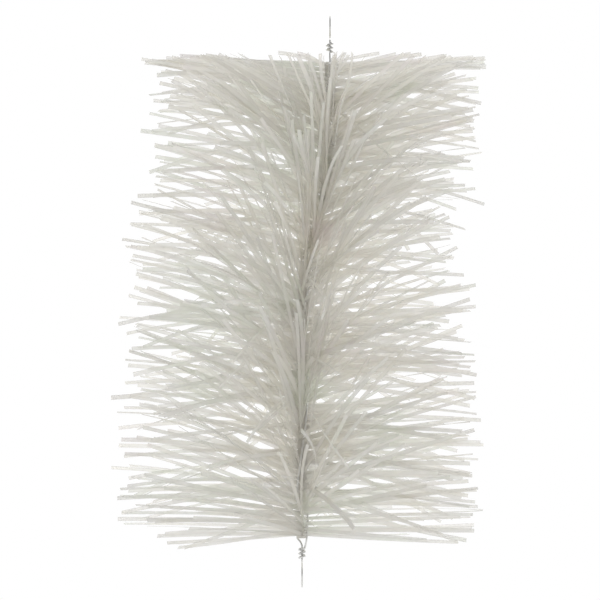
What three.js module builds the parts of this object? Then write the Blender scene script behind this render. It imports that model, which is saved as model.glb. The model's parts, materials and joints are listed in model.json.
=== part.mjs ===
// A tinsel garland on a wire core: plies of plastic film are slit from both edges into fingers, laid
// between two steel wires and twisted with them, and each end of the core is bent into a hanging eye.
// Millimetres, +Z up. The origin is where the top eye bears on its hook, and the garland hangs below.
import * as THREE from "three";

// Core
const STRETCHES = 7; // lengths of core, with a bend between one and the next
const STRETCH_LENGTH = 20;
const TWIST_PITCH = 76; // core length in which the film turns once round
const WIRE = 0.6; // diameter of each core wire
const WIRE_CLEARANCE = 0.3; // between a wire and the film beside it
const BEND_DEG = 30; // how far each bend goes, either way
const BEND_CLEARANCE = 0.3; // left between two wire ends at a full bend
const SWAY = 8.2; // how far the set in the core carries the lower end to the left
const SWAY_FROM = 40; // depths below the hook between which the core leans over
const SWAY_TO = 85;

// Film
const PLIES = 6;
const FILM = 0.1; // thickness
const PLY_CLEARANCE = 0.3;
const WEB_WIDTH = 2.5; // uncut middle of the film
const WEB_CLEARANCE = 0.3; // between the films of two stretches
const FINGERS = 6; // on each edge of one stretch of film
const FINGER_WIDTH = 2.4;
const FINGER_LENGTH = 48.75;
const FINGER_RISE = 5; // how much higher a finger's tip is than its root
const FAN_DEG = 30; // between the fingers of one ply and the next

// Hanging eyes
const EYE_CLEAR = 6.6; // clear width inside an eye
const NECK = 7; // from an eye to the film
const WRAP_TURNS = 2.5; // of one wire round the other at the neck
const WRAP_LENGTH = 3;
const WRAP_CLEARANCE = 0.35;
const EYE_ARC_DEG = 345; // of the ring that one wire makes, counted from the neck
const EYE_START_DEG = 25; // where the wire from the neck joins the ring

// Facets
const WIRE_SIDES = 8;
const CURLED_STEP = 1; // length of a facet along a wire that makes an eye or a wrap
const STRAIGHT_STEP = 3.5; // and along a wire beside the film

// What follows from them
const plyPitch = FILM + PLY_CLEARANCE;
const stackHalf = ((PLIES - 1) * plyPitch + FILM) / 2;
const wireOffset = stackHalf + WIRE_CLEARANCE + WIRE / 2;
const bendRadians = THREE.MathUtils.degToRad(BEND_DEG);
const wireTrim = (wireOffset + WIRE / 2) * Math.tan(bendRadians / 2) + BEND_CLEARANCE / 2;
const eyeRadius = (EYE_CLEAR + WIRE) / 2;
const eyeStart = THREE.MathUtils.degToRad(EYE_START_DEG);
const eyeArc = THREE.MathUtils.degToRad(EYE_ARC_DEG) - eyeStart;
const filmTop = -(EYE_CLEAR + WIRE / 2 + NECK);
const filmBottom = filmTop - STRETCHES * STRETCH_LENGTH;
const webLength = STRETCH_LENGTH - WEB_CLEARANCE;
const fingerPitch = (webLength - FINGER_WIDTH) / (FINGERS - 1);

const clearFilm = { color: 0xe2dfd6, roughness: 0.35, metalness: 0 };
const brightSteel = { color: 0xc8c8c4, roughness: 0.3, metalness: 1 };

// Sideways place of the core's axis at a height: a smooth step from one side to the other.
function sway(z) {
  return -SWAY * THREE.MathUtils.smoothstep(-z, SWAY_FROM, SWAY_TO);
}

// Direction in which the film lies across the core at a height.
function twist(z) {
  return (2 * Math.PI * (z - filmTop)) / TWIST_PITCH;
}

function around(angle, radius, z) {
  return new THREE.Vector3(radius * Math.cos(angle), radius * Math.sin(angle), z);
}

// Carries a solid that was worked out round a straight axis over to the core's own line.
function onCore(geometry) {
  const position = geometry.getAttribute("position");
  for (let i = 0; i < position.count; i += 1) {
    position.setX(i, position.getX(i) + sway(position.getZ(i)));
  }
  geometry.computeVertexNormals();
  return geometry;
}

function piece(name, geometry, finish) {
  const mesh = new THREE.Mesh(onCore(geometry), new THREE.MeshStandardMaterial(finish));
  mesh.name = name;
  return mesh;
}

// A sheet given by quads over pairs of points, one on its face and one on its back, closed into a
// solid by a wall along every edge that only one quad has.
function closedSheet(faces, backs, quads) {
  const count = faces.length;
  const index = [];
  const edges = quads.flatMap((quad) => quad.map((from, i) => [from, quad[(i + 1) % 4]]));
  const known = new Set(edges.map(String));
  for (const [a, b, c, d] of quads) {
    index.push(a, b, c, a, c, d);
    index.push(count + a, count + c, count + b, count + a, count + d, count + c);
  }
  for (const [a, b] of edges) {
    if (!known.has(String([b, a]))) {
      index.push(b, a, count + a, b, count + a, count + b);
    }
  }
  const geometry = new THREE.BufferGeometry().setFromPoints([...faces, ...backs]);
  geometry.setIndex(index);
  return geometry;
}

// One ply over one stretch, like a comb with teeth along both edges. The web is twisted with the
// core. A finger leaves the web at its own fold, keeps one direction and rises towards its tip.
function filmComb(stretch, ply) {
  const lowest = filmTop - stretch * STRETCH_LENGTH - (STRETCH_LENGTH + webLength) / 2;
  const place = ply - (PLIES - 1) / 2;
  const offset = place * plyPitch;
  const fold = THREE.MathUtils.degToRad(place * FAN_DEG);
  const faces = [];
  const backs = [];
  const quads = [];

  function corner(point, normalAngle) {
    const half = around(normalAngle, FILM / 2, 0);
    faces.push(point.clone().add(half));
    backs.push(point.clone().sub(half));
  }

  for (let station = 0; station < 2 * FINGERS; station += 1) {
    const finger = Math.floor(station / 2);
    const fingerBottom = lowest + finger * fingerPitch;
    const height = fingerBottom + (station % 2) * FINGER_WIDTH;
    for (const side of [1, -1]) {
      const turns = [twist(height), twist(fingerBottom + FINGER_WIDTH / 2)];
      const [root, middle] = turns.map((turn) =>
        around(turn, (side * WEB_WIDTH) / 2, height).add(around(turn + Math.PI / 2, offset, 0)),
      );
      const out = turns[1] + side * fold;
      const tip = middle.add(around(out, side * FINGER_LENGTH, FINGER_RISE));
      corner(root, turns[0] + (side * fold) / 2 - Math.PI / 2);
      corner(tip, out - Math.PI / 2);
    }
    const [right, rightTip, left, leftTip] = [0, 1, 2, 3].map((i) => 4 * station + i);
    if (station + 1 < 2 * FINGERS) {
      quads.push([left, right, right + 4, left + 4]);
    }
    if (station % 2 === 0) {
      quads.push([right, rightTip, rightTip + 4, right + 4]);
      quads.push([leftTip, left, left + 4, leftTip + 4]);
    }
  }
  return closedSheet(faces, backs, quads);
}

// The bare end of a core wire beyond the film, from the film outwards. end is 1 at the top and -1 at
// the bottom, and phase is the wire's side of the core. The first wire runs in to the axis and makes
// the ring; the second winds round it.
function wireEnd(end, phase, makesRing) {
  const film = end > 0 ? filmTop : filmBottom;
  const neckEnd = film + end * NECK;
  const points = [];
  const wrapStart = NECK - WRAP_LENGTH - 2 * WIRE;
  const onAxis = wrapStart - WIRE;
  if (makesRing) {
    points.push(around(twist(film) + phase, wireOffset / 3, film + (end * onAxis) / 2));
    for (let height = onAxis; height < NECK - WIRE / 2; height += WIRE) {
      points.push(new THREE.Vector3(0, 0, film + end * height));
    }
    const centre = neckEnd + end * eyeRadius;
    const parts = 18;
    for (let i = 0; i <= parts; i += 1) {
      const angle = eyeStart + (eyeArc * i) / parts;
      const y = eyeRadius * Math.sin(angle);
      points.push(new THREE.Vector3(0, y, centre - end * eyeRadius * Math.cos(angle)));
    }
  } else {
    const radius = WIRE + WRAP_CLEARANCE;
    const parts = Math.round(WRAP_TURNS * 8);
    for (let i = 0; i <= parts; i += 1) {
      const turn = twist(film) + phase + end * 2 * Math.PI * WRAP_TURNS * (i / parts);
      const height = film + end * (wrapStart + (WRAP_LENGTH * i) / parts);
      points.push(around(turn, radius, height));
    }
  }
  return points;
}

// One core wire over one stretch: a helix beside the film, cut back at each bend so that the ends
// clear one another when the bend closes, or carried on into an eye.
function coreWire(stretch, phase, makesRing) {
  const high = filmTop - stretch * STRETCH_LENGTH;
  const low = high - STRETCH_LENGTH;
  const isTop = stretch === 0;
  const isBottom = stretch === STRETCHES - 1;
  const from = isBottom ? low : low + wireTrim;
  const to = isTop ? high : high - wireTrim;
  const steps = 6;
  const points = [];
  for (let i = 0; i <= steps; i += 1) {
    const z = from + ((to - from) * i) / steps;
    points.push(around(twist(z) + phase, wireOffset, z));
  }
  if (isTop) {
    points.push(...wireEnd(1, phase, makesRing));
  }
  if (isBottom) {
    points.unshift(...wireEnd(-1, phase, makesRing).reverse());
  }
  const path = new THREE.CatmullRomCurve3(points);
  const length = path.getLength();
  const section = new THREE.Shape().absarc(0, 0, WIRE / 2, 0, 2 * Math.PI);
  return new THREE.ExtrudeGeometry(section, {
    extrudePath: path,
    steps: Math.ceil(length / (isTop || isBottom ? CURLED_STEP : STRAIGHT_STEP)),
    curveSegments: WIRE_SIDES / 2,
  });
}

const garland = new THREE.Group();
for (let stretch = 0; stretch < STRETCHES; stretch += 1) {
  const number = stretch + 1;
  garland.add(piece(`core_wire_a_${number}`, coreWire(stretch, Math.PI / 2, true), brightSteel));
  garland.add(piece(`core_wire_b_${number}`, coreWire(stretch, -Math.PI / 2, false), brightSteel));
  for (let ply = 0; ply < PLIES; ply += 1) {
    garland.add(piece(`film_${ply + 1}_${number}`, filmComb(stretch, ply), clearFilm));
  }
}

export default garland;
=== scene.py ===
import json
import math

import bpy
import numpy as np
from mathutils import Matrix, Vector

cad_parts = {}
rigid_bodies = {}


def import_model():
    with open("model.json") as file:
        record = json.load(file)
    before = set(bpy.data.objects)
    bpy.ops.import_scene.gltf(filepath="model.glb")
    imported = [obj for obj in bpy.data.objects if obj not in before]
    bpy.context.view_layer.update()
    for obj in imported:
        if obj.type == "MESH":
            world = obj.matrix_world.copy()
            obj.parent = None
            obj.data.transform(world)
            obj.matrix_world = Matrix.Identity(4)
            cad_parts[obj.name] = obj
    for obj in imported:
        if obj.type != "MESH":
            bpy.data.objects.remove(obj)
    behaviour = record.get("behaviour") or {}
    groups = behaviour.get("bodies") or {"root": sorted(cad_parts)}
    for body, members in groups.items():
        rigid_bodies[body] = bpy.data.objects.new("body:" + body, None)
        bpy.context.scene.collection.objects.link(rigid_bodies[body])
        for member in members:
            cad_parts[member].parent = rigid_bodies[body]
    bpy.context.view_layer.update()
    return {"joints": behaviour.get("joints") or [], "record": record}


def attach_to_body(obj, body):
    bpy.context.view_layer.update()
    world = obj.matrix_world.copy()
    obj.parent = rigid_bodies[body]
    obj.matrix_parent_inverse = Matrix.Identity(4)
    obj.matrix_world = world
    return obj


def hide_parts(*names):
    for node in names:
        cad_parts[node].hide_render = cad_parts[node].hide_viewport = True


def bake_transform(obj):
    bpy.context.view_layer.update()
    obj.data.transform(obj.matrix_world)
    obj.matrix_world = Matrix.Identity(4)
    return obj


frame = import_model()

# A pearl-white tinsel garland: six plies of plastic film, slit from both edges into fingers, twisted
# between two core wires whose ends make the hanging eyes. Metres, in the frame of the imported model.
MM = 0.001

# Core
TWIST_PITCH = 76 * MM
WIRE = 0.6 * MM
WIRE_OFFSET = 1.65 * MM
WRAP_TURNS = 2.5
WRAP_LENGTH = 3 * MM
WRAP_RADIUS = 0.95 * MM
EYE_RADIUS = 3.6 * MM
EYE_START = math.radians(25)
EYE_END = math.radians(345)
TURN_POINTS = 8
EYE_POINTS = 19
WIRE_SIDES = 14

# Film. SEE_THROUGH is the share of light that goes straight through one face of a finger, GLOW the share
# of the rest that it spreads on its far side, and EDGE_SHADE the tone of the painted shade along its cut
# edges, which stands in for the light that the edges bend away; EDGE_SHADE_REACH is how far in from each edge
# that painted shade reaches, as a share of the width.
PLIES = 6
FILM = 0.08 * MM
PLY_PITCH = 0.4 * MM
WEB_HALF = 1.25 * MM
FAN = math.radians(30)
FINGER_PITCH = 1.5 * MM
PRESSED = 0.06
FINGER_WIDTH = 1.2 * MM
FINGER_LENGTH = 52 * MM
SEE_THROUGH = 0.5
GLOW = 0.5
EDGE_SHADE = 0.88
EDGE_SHADE_REACH = 0.16
STATIONS = 10
WEB_ROWS = 13

# How far the fingers that face the front or the back swing together
SWAY = math.radians(22)
SWAY_SEED = 3

# Away from dead right, the fingers near the middle of the core part to either side by THIN_TURN
THIN_TURN = math.radians(16)
THIN_Z = -80 * MM
THIN_REACH = 18 * MM
THIN_ROUND = 0.7

# Camera
VIEW_HEIGHT = 176.4 * MM
VIEW_DISTANCE = 1.5
VIEW_SHIFT = 0.6 * MM

# Light. The surround goes from FRONT_LIGHT on the side of the camera, where its direction's Y is DIM_TO or
# less, to BACK_LIGHT behind the garland.
FRONT_LIGHT = 0.25
BACK_LIGHT = 1.9
DIM_TO = -0.5
KEY_POWER = 0.3
KEY_SIZE = 0.4
KEY_PLACE = (-0.2, -1.4, 0.2)
BOUNCES = 16
FLOOR_RADIUS = 1.6
FLOOR_DROP = 0.246
FLOOR_POINTS = 96

# The core's bends, from the top down, and the stretches that they part
bends = np.array([joint["pos_m"] for joint in frame["joints"]])
stretches = [frame["joints"][0]["parent"]] + [joint["child"] for joint in frame["joints"]]
stretch_length = bends[0, 2] - bends[1, 2]
film_top = bends[0, 2] + stretch_length
film_bottom = bends[-1, 2] - stretch_length
core_left = bends[:, 0].min()


def core_x(z):
    """Sideways place of the core's axis at heights z: a Catmull-Rom curve through the bends, one knot a
    stretch, level beyond the first and the last."""
    knots = np.concatenate([[0, 0, 0], bends[:, 0], np.repeat(bends[-1, 0], 3)])
    place = np.clip((film_top - z) / stretch_length + 2, 1, len(knots) - 3.001)
    i = place.astype(int)
    t = place - i
    a, b, c, d = (knots[i + k] for k in (-1, 0, 1, 2))
    return b + t * ((c - a) + t * ((2 * a - 5 * b + 4 * c - d) + t * (3 * b - a - 3 * c + d))) / 2


def twist(z):
    """Azimuth of the film's web at heights z: one even turn a pitch."""
    return 2 * np.pi * (z - film_top) / TWIST_PITCH


def smooth(x, low, high):
    """0 below low, 1 above high, and a smooth step between."""
    t = np.clip((x - low) / (high - low), 0, 1)
    return t * t * (3 - 2 * t)


def radial(angle):
    """Unit vectors out from the core at these azimuths; 0 is +X and a quarter turn is +Y."""
    return np.stack([np.cos(angle), np.sin(angle), np.zeros_like(angle)], -1)


def camera():
    lens_camera = bpy.data.cameras.new("camera")
    lens_camera.sensor_width = 36
    lens_camera.lens = lens_camera.sensor_width * VIEW_DISTANCE / VIEW_HEIGHT
    lens_camera.clip_start = 0.05
    lens_camera.clip_end = 50
    made = bpy.data.objects.new("camera", lens_camera)
    middle = (film_top + film_bottom) / 2
    made.location = (core_left - VIEW_SHIFT, -VIEW_DISTANCE, middle)
    made.rotation_euler = (math.radians(90), 0, 0)
    bpy.context.scene.collection.objects.link(made)
    bpy.context.scene.camera = made


# ---------------------------------------------------------------- meshes

def grid_faces(rows, columns, closed):
    """Quads of a grid of points, row after row; closed joins the last column to the first."""
    r, c = np.meshgrid(np.arange(rows - 1), np.arange(columns if closed else columns - 1), indexing="ij")
    here, beside = r * columns + c, r * columns + (c + 1) % columns
    return np.stack([here, here + columns, beside + columns, beside], -1).reshape(-1, 4)


def make_mesh(name, points, quads, layers):
    """A mesh object of quads with smooth faces, sharp where they meet at a corner. layers holds a number
    or a vector for each point, by the attribute's name."""
    mesh = bpy.data.meshes.new(name)
    mesh.vertices.add(len(points))
    mesh.vertices.foreach_set("co", points.astype(np.float32).ravel())
    mesh.loops.add(quads.size)
    mesh.loops.foreach_set("vertex_index", quads.astype(np.int32).ravel())
    mesh.polygons.add(len(quads))
    mesh.polygons.foreach_set("loop_start", np.arange(0, quads.size, 4, dtype=np.int32))
    mesh.update(calc_edges=True)
    mesh.validate()
    mesh.polygons.foreach_set("use_smooth", np.ones(len(quads), bool))
    mesh.set_sharp_from_angle(angle=math.radians(50))
    for key, values in layers.items():
        if key == "UV":
            layer = mesh.uv_layers.new(name="UV")
            layer.data.foreach_set("uv", values[quads.ravel()].astype(np.float32).ravel())
        else:
            layer = mesh.attributes.new(key, "FLOAT", "POINT")
            layer.data.foreach_set("value", values.astype(np.float32))
    made = bpy.data.objects.new(name, mesh)
    bpy.context.scene.collection.objects.link(made)
    return made


def ribbons(root, direction, climb, drift, length, width, roll):
    """Thin bands, one for each row. A band starts at root and runs out along direction (an azimuth) while
    it climbs: its slope goes evenly from climb[0] to climb[1] and its azimuth turns by drift times the
    square of the share of length run. The section is a flat box, turned about the band's own line by
    roll[0] at the root and roll[1] at the tip. Points come out as (band, station, corner, xyz)."""
    t = np.linspace(0, 1, STATIONS)
    slope = climb[:, 0, None] + (climb[:, 1] - climb[:, 0])[:, None] * t
    azimuth = direction[:, None] + drift[:, None] * t**2
    tangent = radial(azimuth) * np.cos(slope)[..., None]
    tangent[..., 2] = np.sin(slope)
    step = (length / (STATIONS - 1))[:, None, None]
    run = np.cumsum((tangent[:, 1:] + tangent[:, :-1]) / 2 * step, axis=1)
    line = root[:, None] + np.concatenate([np.zeros_like(run[:, :1]), run], axis=1)
    line[..., 0] += core_x(root[:, 2])[:, None]
    side = np.cross(tangent, [0, 0, 1.0])
    side /= np.linalg.norm(side, axis=-1, keepdims=True)
    edge = np.cross(side, tangent)
    turn = (roll[:, 0, None] + (roll[:, 1] - roll[:, 0])[:, None] * t)[..., None]
    across = edge * np.cos(turn) + side * np.sin(turn)
    through = side * np.cos(turn) - edge * np.sin(turn)
    half = width[:, None, None] / 2
    return np.stack(
        [line + u * half * across + v * FILM / 2 * through for u, v in ((-1, -1), (1, -1), (1, 1), (-1, 1))],
        axis=2,
    )


def ribbon_faces(count):
    """Quads of that many bands: the four long sides of each, and its two ends."""
    sides = grid_faces(STATIONS, 4, closed=True)[:, ::-1]
    last = 4 * (STATIONS - 1)
    one = np.concatenate([sides, [[0, 1, 2, 3]], [[last + 3, last + 2, last + 1, last]]])
    return (one[None] + (np.arange(count) * 4 * STATIONS)[:, None, None]).reshape(-1, 4)


# ---------------------------------------------------------------- where the fingers point

def wander(rng, z, knot_length, size):
    """Smooth random numbers along the core: one random value a knot, joined by cosine steps, so that
    neighbouring fingers keep together in tufts."""
    place = (film_top - z) / knot_length
    values = rng.normal(0, size, int(place.max()) + 3)
    i = place.astype(int)
    t = (1 - np.cos(np.pi * (place - i))) / 2
    return values[i] * (1 - t) + values[i + 1] * t


def sway(z):
    """How far round all the fingers that face the front or the back swing together at heights z."""
    return wander(np.random.default_rng(SWAY_SEED), z, 13 * MM, SWAY)


# Tufts that were pressed one way in the packet: depth below the top of the film and azimuth of the
# roots, how far the tuft reaches along the core and round it, and the azimuth and the slope that it
# was pressed to. Millimetres and degrees.
TUFTS = (
    ((45, -95), (12, 45), (-95, 54)),
    ((24, -80), (9, 45), (-84, 44)),
    ((70, -110), (9, 40), (-110, 32)),
    ((76, -125), (9, 35), (-124, 28)),
    ((105, -115), (9, 45), (-127, 20)),
    ((137, -115), (8, 45), (-116, 30)),
    ((134, -140), (8, 35), (-137, 13)),
    ((92, -60), (9, 40), (-70, 40)),
)


def settle(z, azimuth, slope):
    """Turns the fingers near each tuft's roots towards the way in which the tuft was pressed."""
    depth = film_top - z
    for (at, round_at), (reach, spread), (towards, rise) in TUFTS:
        off = np.angle(np.exp(1j * (azimuth - math.radians(round_at))))
        pull = np.exp(-(((depth - at * MM) / (reach * MM)) ** 2) - (off / math.radians(spread)) ** 2)
        turn = np.angle(np.exp(1j * (math.radians(towards) - azimuth)))
        azimuth = azimuth + 0.7 * pull * turn
        slope = slope + 0.8 * pull[:, None] * (np.radians([rise + 4, rise - 4]) - slope)
    return azimuth, slope


def lean(z, azimuth):
    """Slopes at root and tip. Fingers rise: most on the front, less to the left, and to the right much
    in the upper half and little below."""
    across, along = np.cos(azimuth), np.sin(azimuth)
    upper = smooth(z, -100 * MM, -70 * MM)
    shares = np.stack([across**2 * (across < 0), across**2 * (across >= 0), along**2 * (along < 0),
                       along**2 * (along >= 0)], -1)
    root = shares @ np.radians([18, 0, 42, 14]) + shares[:, 1] * np.radians(3 + 15 * upper)
    tip = shares @ np.radians([6, 0, 38, 2]) + shares[:, 1] * np.radians(-2 + 12 * upper)
    return np.stack([root, tip], -1)


def level_ends(z, slope, length):
    """The fringe ends squarely: no finger rises past the film's top end, or hangs past its bottom end,
    where they stand straight out."""
    slope = slope * smooth(z, film_bottom - 10 * MM, film_bottom + 22 * MM)[:, None]
    most = np.arcsin(np.clip((film_top - z + 0.2 * MM) / length, 0, 1))[:, None]
    least = -np.arcsin(np.clip((z - film_bottom + 1 * MM) / length, 0, 1))[:, None]
    return np.clip(slope, least + np.radians([-2, 2]), most + np.radians([2, -2]))


def fingers(ply, side):
    """Everything about one edge of one ply: where its fingers start, where they point and how long they
    are, as a dict of arrays from the top of the core to the bottom."""
    rng = np.random.default_rng(100 * ply + (7 if side > 0 else 53))
    count = int((film_top - film_bottom) / FINGER_PITCH)
    z = film_top - FINGER_PITCH * (np.arange(count) + 0.5)
    place = ply - (PLIES - 1) / 2
    web = twist(z)
    start = radial(web) * side * WEB_HALF + radial(web + np.pi / 2) * place * PLY_PITCH
    start[:, 2] = z
    azimuth = web + (0 if side > 0 else np.pi) + side * place * FAN
    azimuth = azimuth - PRESSED * np.sin(2 * azimuth)
    loose = np.sin(azimuth) ** 2
    azimuth = azimuth + wander(rng, z, 6 * MM, 1) * np.radians(9 + 20 * loose) + sway(z) * loose
    azimuth = azimuth + rng.normal(0, 1, count) * np.radians(5 + 16 * loose)
    facing_right = np.angle(np.exp(1j * azimuth))
    thin = THIN_TURN * np.exp(-(((z - THIN_Z) / THIN_REACH) ** 2))
    azimuth = azimuth + thin * np.sign(facing_right) * np.exp(-((facing_right / THIN_ROUND) ** 2))
    slope = lean(z, azimuth)
    azimuth, slope = settle(z, azimuth, slope)
    lift = wander(rng, z, 5 * MM, 1) * np.radians(4 + 11 * loose)
    lift = lift + rng.normal(0, 1, count) * np.radians(10 + 9 * loose)
    slope = slope + lift[:, None] + rng.normal(0, math.radians(3), (count, 2))
    # Fingers to the right are shorter, and most so in the upper half; one in ten is torn short
    rightward = np.clip(np.cos(azimuth), 0, 1) ** 2
    short = rightward * (0.04 + 0.15 * smooth(z, -88 * MM, -60 * MM))
    length = FINGER_LENGTH * (1 - short + rng.normal(0, 0.03, count) + wander(rng, z, 6 * MM, 0.02))
    length = length * np.where(rng.random(count) < 0.1, rng.uniform(0.55, 0.95, count), 1)
    drift = (wander(rng, z, 5 * MM, 1) + rng.normal(0, 1, count)) * np.radians(3 + 2 * loose)
    # A few strays stand out of the rest
    stray = rng.random(count) < 0.06
    slope = slope + np.where(stray, rng.normal(0, math.radians(26), count), 0)[:, None]
    drift = drift + np.where(stray, rng.normal(0, math.radians(12), count), 0)
    slope = level_ends(z, slope, length)
    roll = rng.normal(0, math.radians(30), (count, 2))
    roll[:, 1] += roll[:, 0] + rng.normal(0, math.radians(35), count)
    return {
        "start": start, "direction": azimuth, "climb": slope, "drift": drift, "length": length,
        "roll": roll, "width": FINGER_WIDTH * rng.uniform(0.8, 1.1, count), "shade": rng.random(count),
    }


# ---------------------------------------------------------------- zones of the core

def zones():
    """The lengths in which pieces are made, as (name, highest z, lowest z, bodies, stretch numbers): the
    two ends ride on one stretch, and each length between reaches from the middle of one stretch to the
    middle of the next, across their bend."""
    middles = np.concatenate([bends[:, 2] + stretch_length / 2, [film_bottom + stretch_length / 2]])
    yield "top", film_top, middles[0], stretches[:1], [1]
    for i, joint in enumerate(frame["joints"]):
        yield joint["name"], middles[i], middles[i + 1], [joint["parent"], joint["child"]], [i + 1, i + 2]
    yield "bottom", middles[-1], film_bottom, stretches[-1:], [len(stretches)]


def attach(piece, zone, nodes):
    """Fixes a piece to its stretch when it rides on one; a piece that spans a bend keeps its place, with
    its transform applied and no parent. Either way the model's own parts for that zone are hidden."""
    _, high, low, bodies, _ = zone
    if len(bodies) == 1:
        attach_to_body(piece, bodies[0])
    else:
        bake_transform(piece)
    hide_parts(*nodes)


# ---------------------------------------------------------------- the film

def web_band(ply, high, low):
    """The uncut middle of a ply: a thin band that turns with the core."""
    z = np.linspace(high, low, WEB_ROWS)
    web = twist(z)
    middle = radial(web + np.pi / 2) * (ply - (PLIES - 1) / 2) * PLY_PITCH
    middle[:, 2] = z
    middle[:, 0] += core_x(z)
    across, through = radial(web) * WEB_HALF, radial(web + np.pi / 2) * FILM / 2
    corners = [middle + u * across + v * through for u, v in ((-1, -1), (1, -1), (1, 1), (-1, 1))]
    points = np.stack(corners, 1).reshape(-1, 3)
    last = 4 * (WEB_ROWS - 1)
    ends = [[3, 2, 1, 0], [last, last + 1, last + 2, last + 3]]
    quads = np.concatenate([grid_faces(WEB_ROWS, 4, closed=True), ends])
    return points, quads, np.repeat(z, 4)


def film_piece(ply, zone, edges, material):
    """One ply over one zone: its web and the fingers of both its edges."""
    name, high, low, _, numbers = zone
    points, quads, root_z = web_band(ply, high, low)
    uv = np.stack([np.zeros(len(points)), np.tile([0, 1, 1, 0], len(points) // 4)], -1)
    shade = np.full(len(points), 0.5)
    for edge in edges:
        inside = (edge["start"][:, 2] <= high) & (edge["start"][:, 2] > low)
        f = {key: value[inside] for key, value in edge.items()}
        made = ribbons(f["start"], f["direction"], f["climb"], f["drift"], f["length"], f["width"], f["roll"])
        count = len(made)
        quads = np.concatenate([quads, ribbon_faces(count) + len(points)])
        points = np.concatenate([points, made.reshape(-1, 3)])
        per_finger = 4 * STATIONS
        root_z = np.concatenate([root_z, np.repeat(f["start"][:, 2], per_finger)])
        shade = np.concatenate([shade, np.repeat(f["shade"], per_finger)])
        along = np.repeat(np.linspace(0, 1, STATIONS), 4)
        one = np.stack([along, np.tile([0.0, 1, 1, 0], STATIONS)], -1)
        uv = np.concatenate([uv, np.tile(one, (count, 1))])
    piece = make_mesh(f"film_{ply + 1}_{name}", points, quads, {"UV": uv, "shade": shade})
    piece.data.materials.append(material)
    attach(piece, zone, [f"film_{ply + 1}_{n}" for n in numbers])
    return piece


# ---------------------------------------------------------------- the wires

def tube(line, reference, radius, sides=WIRE_SIDES):
    """A round wire along a line of points: circles square to the line, turned from the reference vectors,
    and closed with flat ends."""
    tangent = np.gradient(line, axis=0)
    tangent /= np.linalg.norm(tangent, axis=1, keepdims=True)
    first = reference - np.sum(reference * tangent, 1, keepdims=True) * tangent
    first /= np.linalg.norm(first, axis=1, keepdims=True)
    second = np.cross(tangent, first)
    angle = np.linspace(0, 2 * np.pi, sides, endpoint=False)
    ring = np.cos(angle)[None, :, None] * first[:, None] + np.sin(angle)[None, :, None] * second[:, None]
    points = (line[:, None] + radius * ring).reshape(-1, 3)
    quads = grid_faces(len(line), sides, closed=True)[:, ::-1]
    half = sides // 2
    fan = np.array([[i, sides - 1 - i, sides - 2 - i, i + 1] for i in range(half - 1)])
    return points, np.concatenate([quads, fan, fan[:, ::-1] + (len(line) - 1) * sides])


def curve_through(points, step):
    """Catmull-Rom curve through points, sampled every step or so."""
    padded = np.concatenate([[2 * points[0] - points[1]], points, [2 * points[-1] - points[-2]]])
    a, b, c, d = padded[:-3], padded[1:-2], padded[2:-1], padded[3:]
    parts = max(2, int(np.linalg.norm(c - b, axis=1).max() / step))
    t = np.arange(parts)[:, None, None] / parts
    out = b + t * ((c - a) + t * ((2 * a - 5 * b + 4 * c - d) + t * (3 * b - a - 3 * c + d))) / 2
    return np.concatenate([out.transpose(1, 0, 2).reshape(-1, 3), points[-1:]])


def wire_end(end, phase, makes_eye, eye_z):
    """Centre line of a wire beyond the film, from the film outwards: one wire runs in to the axis and
    round the eye, the other winds round it at the neck. end is 1 at the top and -1 at the bottom."""
    film = film_top if end > 0 else film_bottom
    neck_end = eye_z - end * EYE_RADIUS
    neck = abs(neck_end - film)
    wrap_start = neck - WRAP_LENGTH - 2 * WIRE
    on_axis = wrap_start - WIRE
    side = twist(film) + phase
    if makes_eye:
        inward = radial(np.array([side])) * WIRE_OFFSET / 3 + [0, 0, film + end * on_axis / 2]
        heights = film + end * np.arange(on_axis, neck - WIRE / 2, WIRE)
        straight = np.stack([0 * heights, 0 * heights, heights], -1)
        angle = np.linspace(EYE_START, EYE_END, EYE_POINTS)
        eye = np.stack([0 * angle, EYE_RADIUS * np.sin(angle), eye_z - end * EYE_RADIUS * np.cos(angle)], -1)
        return np.concatenate([inward, straight, eye])
    share = np.linspace(0, 1, int(WRAP_TURNS * TURN_POINTS) + 1)
    wraps = radial(side + end * 2 * np.pi * WRAP_TURNS * share) * WRAP_RADIUS
    wraps[:, 2] = film + end * (wrap_start + WRAP_LENGTH * share)
    return wraps


def wire_piece(letter, phase, zone, material):
    """One core wire over one zone: a helix beside the film, with its eye or its wraps at the ends."""
    name, high, low, _, numbers = zone
    z = np.linspace(high, low, 9)
    line = radial(twist(z) + phase) * WIRE_OFFSET
    line[:, 2] = z
    openings = {o["name"]: np.array(o["box_m"])[:, 2].mean() for o in frame["record"]["physics"]["openings"]}
    if name == "top":
        line = np.concatenate([wire_end(1, phase, letter == "a", openings["top_eye"])[::-1], line])
    if name == "bottom":
        line = np.concatenate([line, wire_end(-1, phase, letter == "a", openings["bottom_eye"])])
    line = curve_through(line, 0.25 * MM if len(line) > len(z) else 1.2 * MM)
    reference = np.array([[1.0, 0, 0]]) if letter == "a" else line * [1, 1, 0]
    points, quads = tube(line, np.broadcast_to(reference, line.shape), WIRE / 2)
    points[:, 0] += core_x(points[:, 2])
    run = np.concatenate([[0], np.cumsum(np.linalg.norm(np.diff(line, axis=0), axis=1))])
    sides = len(points) // len(line)
    uv = np.stack([np.repeat(run / (10 * MM), sides), np.tile(np.arange(sides) / sides, len(line))], -1)
    piece = make_mesh(f"core_wire_{letter}_{name}", points, quads, {"UV": uv})
    piece.data.materials.append(material)
    attach(piece, zone, [f"core_wire_{letter}_{n}" for n in numbers])
    return piece


# ---------------------------------------------------------------- materials

def node(tree, kind, place, **settings):
    made = tree.nodes.new(kind)
    made.location = (220 * place[0], -160 * place[1])
    for key, value in settings.items():
        if key in made.inputs:
            made.inputs[key].default_value = value
        else:
            setattr(made, key, value)
    return made


def blank(name):
    material = bpy.data.materials.new(name)
    material.use_nodes = True
    tree = material.node_tree
    tree.nodes.clear()
    return material, tree


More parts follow.
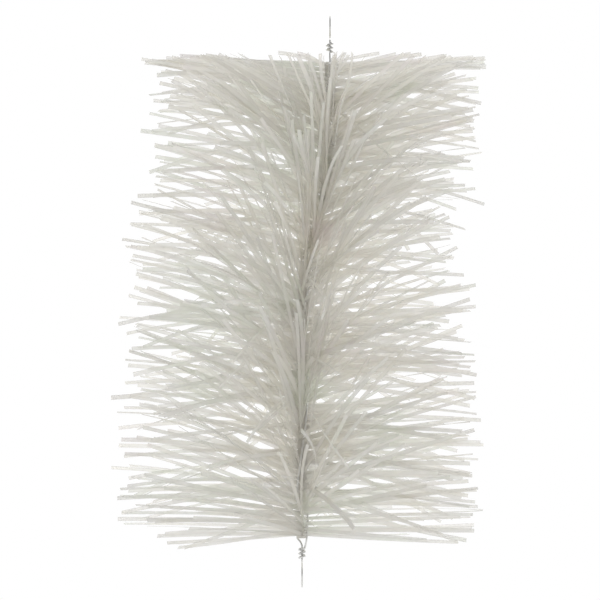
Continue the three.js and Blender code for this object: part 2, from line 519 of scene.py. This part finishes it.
def ramp(tree, place, stops):
    made = node(tree, "ShaderNodeValToRGB", place)
    while len(made.color_ramp.elements) < len(stops):
        made.color_ramp.elements.new(0.5)
    for element, (at, colour) in zip(made.color_ramp.elements, stops):
        element.position = at
        element.color = (*colour, 1)
    return made


def drawing_lines():
    """Node group for the fine lines that drawing leaves along a strip or a wire: noise on the piece's own
    UV, stretched along it. It puts out the lines and the roughness that goes with them."""
    tree = bpy.data.node_groups.new("drawing_lines", "ShaderNodeTree")
    tree.interface.new_socket("UV", in_out="INPUT", socket_type="NodeSocketVector")
    for name in ("Along", "Across", "Smoothest", "Roughest"):
        tree.interface.new_socket(name, in_out="INPUT", socket_type="NodeSocketFloat")
    for name in ("Lines", "Roughness"):
        tree.interface.new_socket(name, in_out="OUTPUT", socket_type="NodeSocketFloat")
    given = node(tree, "NodeGroupInput", (0, 0))
    scale = node(tree, "ShaderNodeCombineXYZ", (1, 1))
    tree.links.new(given.outputs["Along"], scale.inputs["X"])
    tree.links.new(given.outputs["Across"], scale.inputs["Y"])
    stretch = node(tree, "ShaderNodeVectorMath", (2, 0), operation="MULTIPLY")
    tree.links.new(given.outputs["UV"], stretch.inputs[0])
    tree.links.new(scale.outputs["Vector"], stretch.inputs[1])
    noise = node(tree, "ShaderNodeTexNoise", (3, 0), Scale=1.0, Detail=2.0)
    tree.links.new(stretch.outputs["Vector"], noise.inputs["Vector"])
    rough = node(tree, "ShaderNodeMapRange", (4, 1))
    tree.links.new(noise.outputs["Fac"], rough.inputs["Value"])
    tree.links.new(given.outputs["Smoothest"], rough.inputs["To Min"])
    tree.links.new(given.outputs["Roughest"], rough.inputs["To Max"])
    result = node(tree, "NodeGroupOutput", (5, 0))
    tree.links.new(noise.outputs["Fac"], result.inputs["Lines"])
    tree.links.new(rough.outputs["Result"], result.inputs["Roughness"])
    return tree


def pearl_film(lines):
    """Thin white film with a pearl cast: clouds of warm, pink and green white over the fringe, a shade of
    its own for each finger, painted shade along each finger's cut edges, fine drawing lines along it and a
    soft gloss."""
    material, tree = blank("pearl_film")
    link = tree.links.new
    place = node(tree, "ShaderNodeTexCoord", (-6, 0))
    clouds = node(tree, "ShaderNodeTexNoise", (-5, 0), Scale=38.0, Detail=3.0, Roughness=0.55)
    link(place.outputs["Object"], clouds.inputs["Vector"])
    pearl = ramp(tree, (-4, 0), (
        (0.30, (0.98, 0.945, 0.93)), (0.42, (0.98, 0.965, 0.91)), (0.52, (0.98, 0.965, 0.94)),
        (0.62, (0.955, 0.965, 0.90)), (0.74, (0.975, 0.975, 0.955))))
    link(clouds.outputs["Fac"], pearl.inputs["Fac"])
    shade = node(tree, "ShaderNodeAttribute", (-6, 2), attribute_name="shade")
    tone = node(tree, "ShaderNodeMapRange", (-5, 2))
    tone.inputs["To Min"].default_value = 0.9
    tone.inputs["To Max"].default_value = 1.01
    link(shade.outputs["Fac"], tone.inputs["Value"])
    toned = node(tree, "ShaderNodeVectorMath", (-3, 1), operation="MULTIPLY")
    link(pearl.outputs["Color"], toned.inputs[0])
    link(tone.outputs["Result"], toned.inputs[1])
    parts = node(tree, "ShaderNodeSeparateXYZ", (-5, 3))
    link(place.outputs["UV"], parts.inputs[0])
    from_middle = node(tree, "ShaderNodeMath", (-4, 3), operation="PINGPONG")
    from_middle.inputs[1].default_value = 0.5
    link(parts.outputs["Y"], from_middle.inputs[0])
    # Painted shade: each finger's colour darkens to EDGE_SHADE towards its two long cut edges. It stands in
    # for the light that the cut edges bend away, and it also colours the translucent glow.
    painted_edge_shade = node(tree, "ShaderNodeMapRange", (-3, 3))
    painted_edge_shade.inputs["From Max"].default_value = EDGE_SHADE_REACH
    painted_edge_shade.inputs["To Min"].default_value = EDGE_SHADE
    link(from_middle.outputs[0], painted_edge_shade.inputs["Value"])
    edge_shaded = node(tree, "ShaderNodeVectorMath", (-2, 1), operation="MULTIPLY")
    link(toned.outputs["Vector"], edge_shaded.inputs[0])
    link(painted_edge_shade.outputs["Result"], edge_shaded.inputs[1])
    drawn = node(tree, "ShaderNodeGroup", (-4, 4), node_tree=lines, Along=3.0, Across=16.0, Smoothest=0.26,
                 Roughest=0.5)
    link(place.outputs["UV"], drawn.inputs["UV"])
    bump = node(tree, "ShaderNodeBump", (-3, 5), Strength=0.15, Distance=0.0001)
    link(drawn.outputs["Lines"], bump.inputs["Height"])
    skin = node(tree, "ShaderNodeBsdfPrincipled", (-1, 1), IOR=1.5)
    link(edge_shaded.outputs["Vector"], skin.inputs["Base Color"])
    link(drawn.outputs["Roughness"], skin.inputs["Roughness"])
    link(bump.outputs["Normal"], skin.inputs["Normal"])
    glow = node(tree, "ShaderNodeBsdfTranslucent", (-1, 4))
    link(edge_shaded.outputs["Vector"], glow.inputs["Color"])
    mix = node(tree, "ShaderNodeMixShader", (0, 2), Fac=GLOW)
    link(skin.outputs["BSDF"], mix.inputs[1])
    link(glow.outputs["BSDF"], mix.inputs[2])
    clear = node(tree, "ShaderNodeBsdfTransparent", (0, 4))
    thin = node(tree, "ShaderNodeMixShader", (1, 2), Fac=SEE_THROUGH)
    link(mix.outputs["Shader"], thin.inputs[1])
    link(clear.outputs["BSDF"], thin.inputs[2])
    out = node(tree, "ShaderNodeOutputMaterial", (2, 2))
    link(thin.outputs["Shader"], out.inputs["Surface"])
    return material


def drawn_wire(lines):
    """Bright drawn steel: die lines along the wire and faint dull patches."""
    material, tree = blank("drawn_wire")
    link = tree.links.new
    place = node(tree, "ShaderNodeTexCoord", (-5, 0))
    drawn = node(tree, "ShaderNodeGroup", (-3, 0), node_tree=lines, Along=2.0, Across=30.0, Smoothest=0.22,
                 Roughest=0.42)
    link(place.outputs["UV"], drawn.inputs["UV"])
    bump = node(tree, "ShaderNodeBump", (-2, 1), Strength=0.3, Distance=0.00005)
    link(drawn.outputs["Lines"], bump.inputs["Height"])
    patches = node(tree, "ShaderNodeTexNoise", (-3, 2), Scale=300.0, Detail=2.0)
    link(place.outputs["Object"], patches.inputs["Vector"])
    steel = ramp(tree, (-2, 2), ((0.3, (0.72, 0.72, 0.71)), (0.6, (0.88, 0.88, 0.86))))
    link(patches.outputs["Fac"], steel.inputs["Fac"])
    skin = node(tree, "ShaderNodeBsdfPrincipled", (0, 0), Metallic=1.0)
    link(steel.outputs["Color"], skin.inputs["Base Color"])
    link(drawn.outputs["Roughness"], skin.inputs["Roughness"])
    link(bump.outputs["Normal"], skin.inputs["Normal"])
    out = node(tree, "ShaderNodeOutputMaterial", (1, 0))
    link(skin.outputs["BSDF"], out.inputs["Surface"])
    return material


# ---------------------------------------------------------------- studio

def studio():
    """A pale round floor well below the garland, a white surround that is brighter behind the garland than in
    front, and one faint soft lamp."""
    scene = bpy.context.scene
    scene.view_settings.view_transform = "Standard"
    scene.cycles.diffuse_bounces = BOUNCES
    scene.cycles.transparent_max_bounces = BOUNCES
    world = bpy.data.worlds.new("studio")
    world.use_nodes = True
    tree = world.node_tree
    background = tree.nodes["Background"]
    background.inputs["Color"].default_value = (1, 1, 1, 1)
    towards = node(tree, "ShaderNodeTexCoord", (-5, 0))
    parts = node(tree, "ShaderNodeSeparateXYZ", (-4, 0))
    tree.links.new(towards.outputs["Generated"], parts.inputs[0])
    level = node(tree, "ShaderNodeMapRange", (-3, 0))
    level.inputs["From Min"].default_value = DIM_TO
    level.inputs["To Min"].default_value = FRONT_LIGHT
    level.inputs["To Max"].default_value = BACK_LIGHT
    tree.links.new(parts.outputs["Y"], level.inputs["Value"])
    seen = node(tree, "ShaderNodeLightPath", (-3, -1))
    strength = node(tree, "ShaderNodeMix", (-2, 0))
    tree.links.new(seen.outputs["Is Camera Ray"], strength.inputs["Factor"])
    tree.links.new(level.outputs["Result"], strength.inputs["A"])
    strength.inputs["B"].default_value = 1.0
    tree.links.new(strength.outputs["Result"], background.inputs["Strength"])
    scene.world = world
    angle = np.linspace(0, 2 * np.pi, FLOOR_POINTS, endpoint=False)
    level_z = np.full(FLOOR_POINTS, film_bottom - FLOOR_DROP)
    rim = np.stack([FLOOR_RADIUS * np.cos(angle), FLOOR_RADIUS * np.sin(angle), level_z], -1)
    mesh = bpy.data.meshes.new("floor")
    mesh.from_pydata(rim.tolist(), [], [list(range(FLOOR_POINTS))])
    floor = bpy.data.objects.new("floor", mesh)
    scene.collection.objects.link(floor)
    material, tree = blank("pale_floor")
    skin = node(tree, "ShaderNodeBsdfPrincipled", (0, 0), Roughness=0.9)
    skin.inputs["Base Color"].default_value = (0.93, 0.93, 0.92, 1)
    tree.links.new(skin.outputs["BSDF"], node(tree, "ShaderNodeOutputMaterial", (1, 0)).inputs["Surface"])
    mesh.materials.append(material)
    lamp = bpy.data.lights.new("key", "AREA")
    lamp.shape = "DISK"
    lamp.size = KEY_SIZE
    lamp.energy = KEY_POWER
    key = bpy.data.objects.new("key", lamp)
    key.visible_camera = False
    key.location = KEY_PLACE
    aim = Vector((core_left, 0, (film_top + film_bottom) / 2)) - key.location
    key.rotation_mode = "QUATERNION"
    key.rotation_quaternion = aim.to_track_quat("-Z", "Y")
    scene.collection.objects.link(key)


camera()
drawn_lines = drawing_lines()
film_finish = pearl_film(drawn_lines)
wire_finish = drawn_wire(drawn_lines)
core_zones = list(zones())
for ply in range(PLIES):
    edges = [fingers(ply, 1), fingers(ply, -1)]
    for zone in core_zones:
        film_piece(ply, zone, edges, film_finish)
for letter, phase in (("a", np.pi / 2), ("b", -np.pi / 2)):
    for zone in core_zones:
        wire_piece(letter, phase, zone, wire_finish)
studio()
